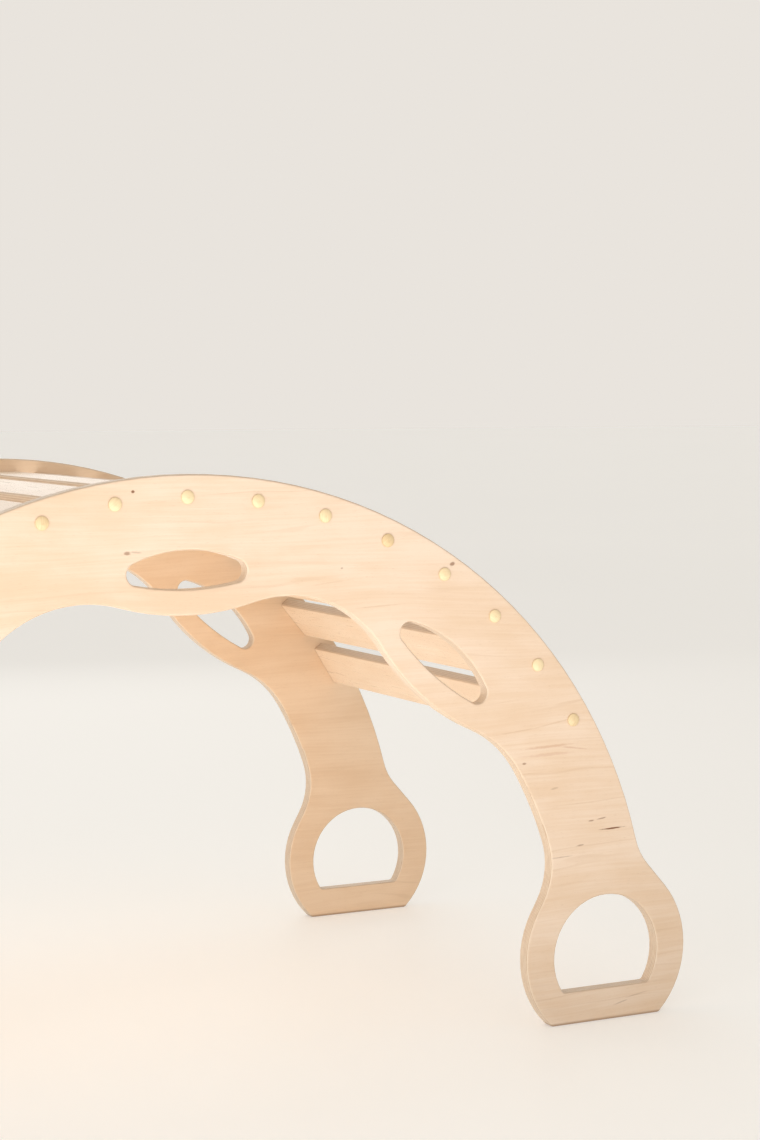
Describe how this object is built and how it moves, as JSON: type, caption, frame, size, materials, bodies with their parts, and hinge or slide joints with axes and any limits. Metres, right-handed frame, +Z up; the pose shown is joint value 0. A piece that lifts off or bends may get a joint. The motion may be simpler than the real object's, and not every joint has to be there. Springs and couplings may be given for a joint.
{
  "type": "seesaw",
  "caption": "Arched plywood rocker with slats between two wavy side panels, oval hand slots and D-shaped end grips; a climbing arch one way up and a seesaw the other.",
  "frame": {"origin": "on the floor under the middle of the arch, centred in its length and width", "axes": "+X along the arch from foot to foot, +Y across it from the front panel to the rear one, +Z up, arch standing on its feet"},
  "size_m": [1.3016, 0.6872, 0.664],
  "materials": {
    "panel_ply": "clear matt lacquer on birch plywood",
    "slat_ply": "clear matt lacquer on birch plywood",
    "cap_wood": "turned hardwood, clear lacquer",
    "dowel_wood": "raw beech",
    "screw_steel": "zinc plated"
  },
  "bodies": {
    "root": {"front_side_panel": "panel_ply", "rear_side_panel": "panel_ply", "slat_01": "slat_ply", "slat_02": "slat_ply", "slat_03": "slat_ply", "slat_04": "slat_ply", "slat_05": "slat_ply", "slat_06": "slat_ply", "slat_07": "slat_ply", "slat_08": "slat_ply", "slat_09": "slat_ply", "slat_10": "slat_ply", "slat_11": "slat_ply", "slat_12": "slat_ply", "slat_13": "slat_ply", "slat_14": "slat_ply", "slat_15": "slat_ply", "front_caps": "cap_wood", "rear_caps": "cap_wood", "front_screws": "screw_steel", "rear_screws": "screw_steel", "front_dowels": "dowel_wood", "rear_dowels": "dowel_wood"}
  },
  "joints": []
}
